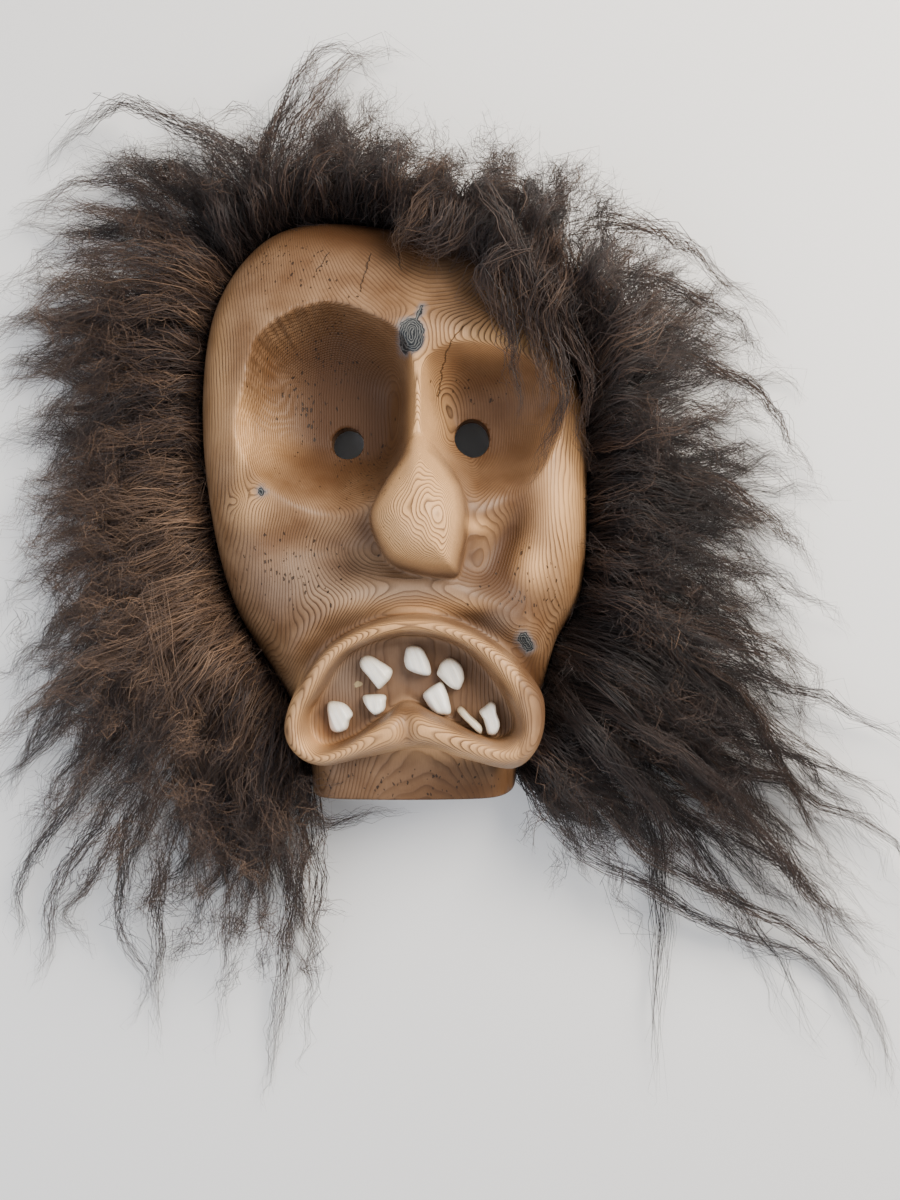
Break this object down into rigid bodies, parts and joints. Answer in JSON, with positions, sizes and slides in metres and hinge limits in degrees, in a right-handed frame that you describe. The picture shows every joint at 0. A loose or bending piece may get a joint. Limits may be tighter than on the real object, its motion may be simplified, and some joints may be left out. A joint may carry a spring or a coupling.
{
  "type": "mask",
  "caption": "Carved wooden carnival mask with a crooked face, a rolled mouth set with teeth, a hollow back and a shaggy fleece fringe.",
  "frame": {"origin": "middle of the whole mask's box, on the plane of the back rim", "axes": "+X to the viewer's right, +Y towards the crown of the head, +Z out of the face"},
  "size_m": [0.6718, 0.7542, 0.1448],
  "materials": {
    "stone_pine": "carved, rubbed and darkened with age",
    "cattle_tooth": "enamel, slightly glossy",
    "dark_fleece": "long wavy wool locks, nearly black",
    "brown_fleece": "long matted wool locks, dark brown"
  },
  "bodies": {
    "root": {"carved_face": "stone_pine", "tooth_1": "cattle_tooth", "tooth_2": "cattle_tooth", "tooth_3": "cattle_tooth", "tooth_4": "cattle_tooth", "tooth_5": "cattle_tooth", "tooth_6": "cattle_tooth", "tooth_7": "cattle_tooth", "tooth_8": "cattle_tooth", "fleece_crown": "dark_fleece", "fleece_left": "dark_fleece", "fleece_beard": "brown_fleece", "fleece_right": "dark_fleece"}
  },
  "joints": []
}
